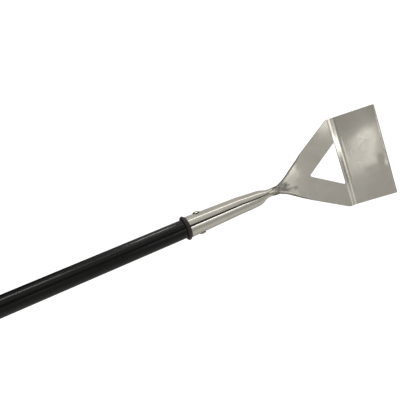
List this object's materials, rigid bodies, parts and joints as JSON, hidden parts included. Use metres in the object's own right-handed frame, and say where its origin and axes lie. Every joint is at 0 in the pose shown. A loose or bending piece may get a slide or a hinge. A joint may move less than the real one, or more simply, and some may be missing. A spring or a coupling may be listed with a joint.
{
  "type": "algae scraper",
  "caption": "Long-handled scraper with a bent flat blade on a triangular plate, a rolled socket riveted to a tubular handle, and a hanging hole.",
  "frame": {"origin": "centre of the hanging hole in the rear end cap, on the handle's axis", "axes": "+X along the handle towards the blade, +Y across the blade, +Z out of the side that the blade bends towards"},
  "size_m": [1.2251, 0.136, 0.0523],
  "materials": {
    "stainless_steel": "semi-polished stainless sheet with faint rolling marks",
    "plug_plastic": "black moulded plastic",
    "collar_rubber": "matte brown-black rubber",
    "tube_steel": "plain drawn steel",
    "sleeve_plastic": "glossy black plastic skin",
    "cap_plastic": "black moulded plastic",
    "rivet_metal": "satin stainless",
    "mandrel_steel": "snapped steel stub"
  },
  "bodies": {
    "root": {"scraper_head": "stainless_steel", "socket_plug": "plug_plastic", "collar_ring": "collar_rubber", "handle_tube": "tube_steel", "handle_sleeve": "sleeve_plastic", "end_cap": "cap_plastic", "upper_rivet": "rivet_metal", "upper_rivet_mandrel": "mandrel_steel", "lower_rivet": "rivet_metal", "lower_rivet_mandrel": "mandrel_steel"}
  },
  "joints": []
}
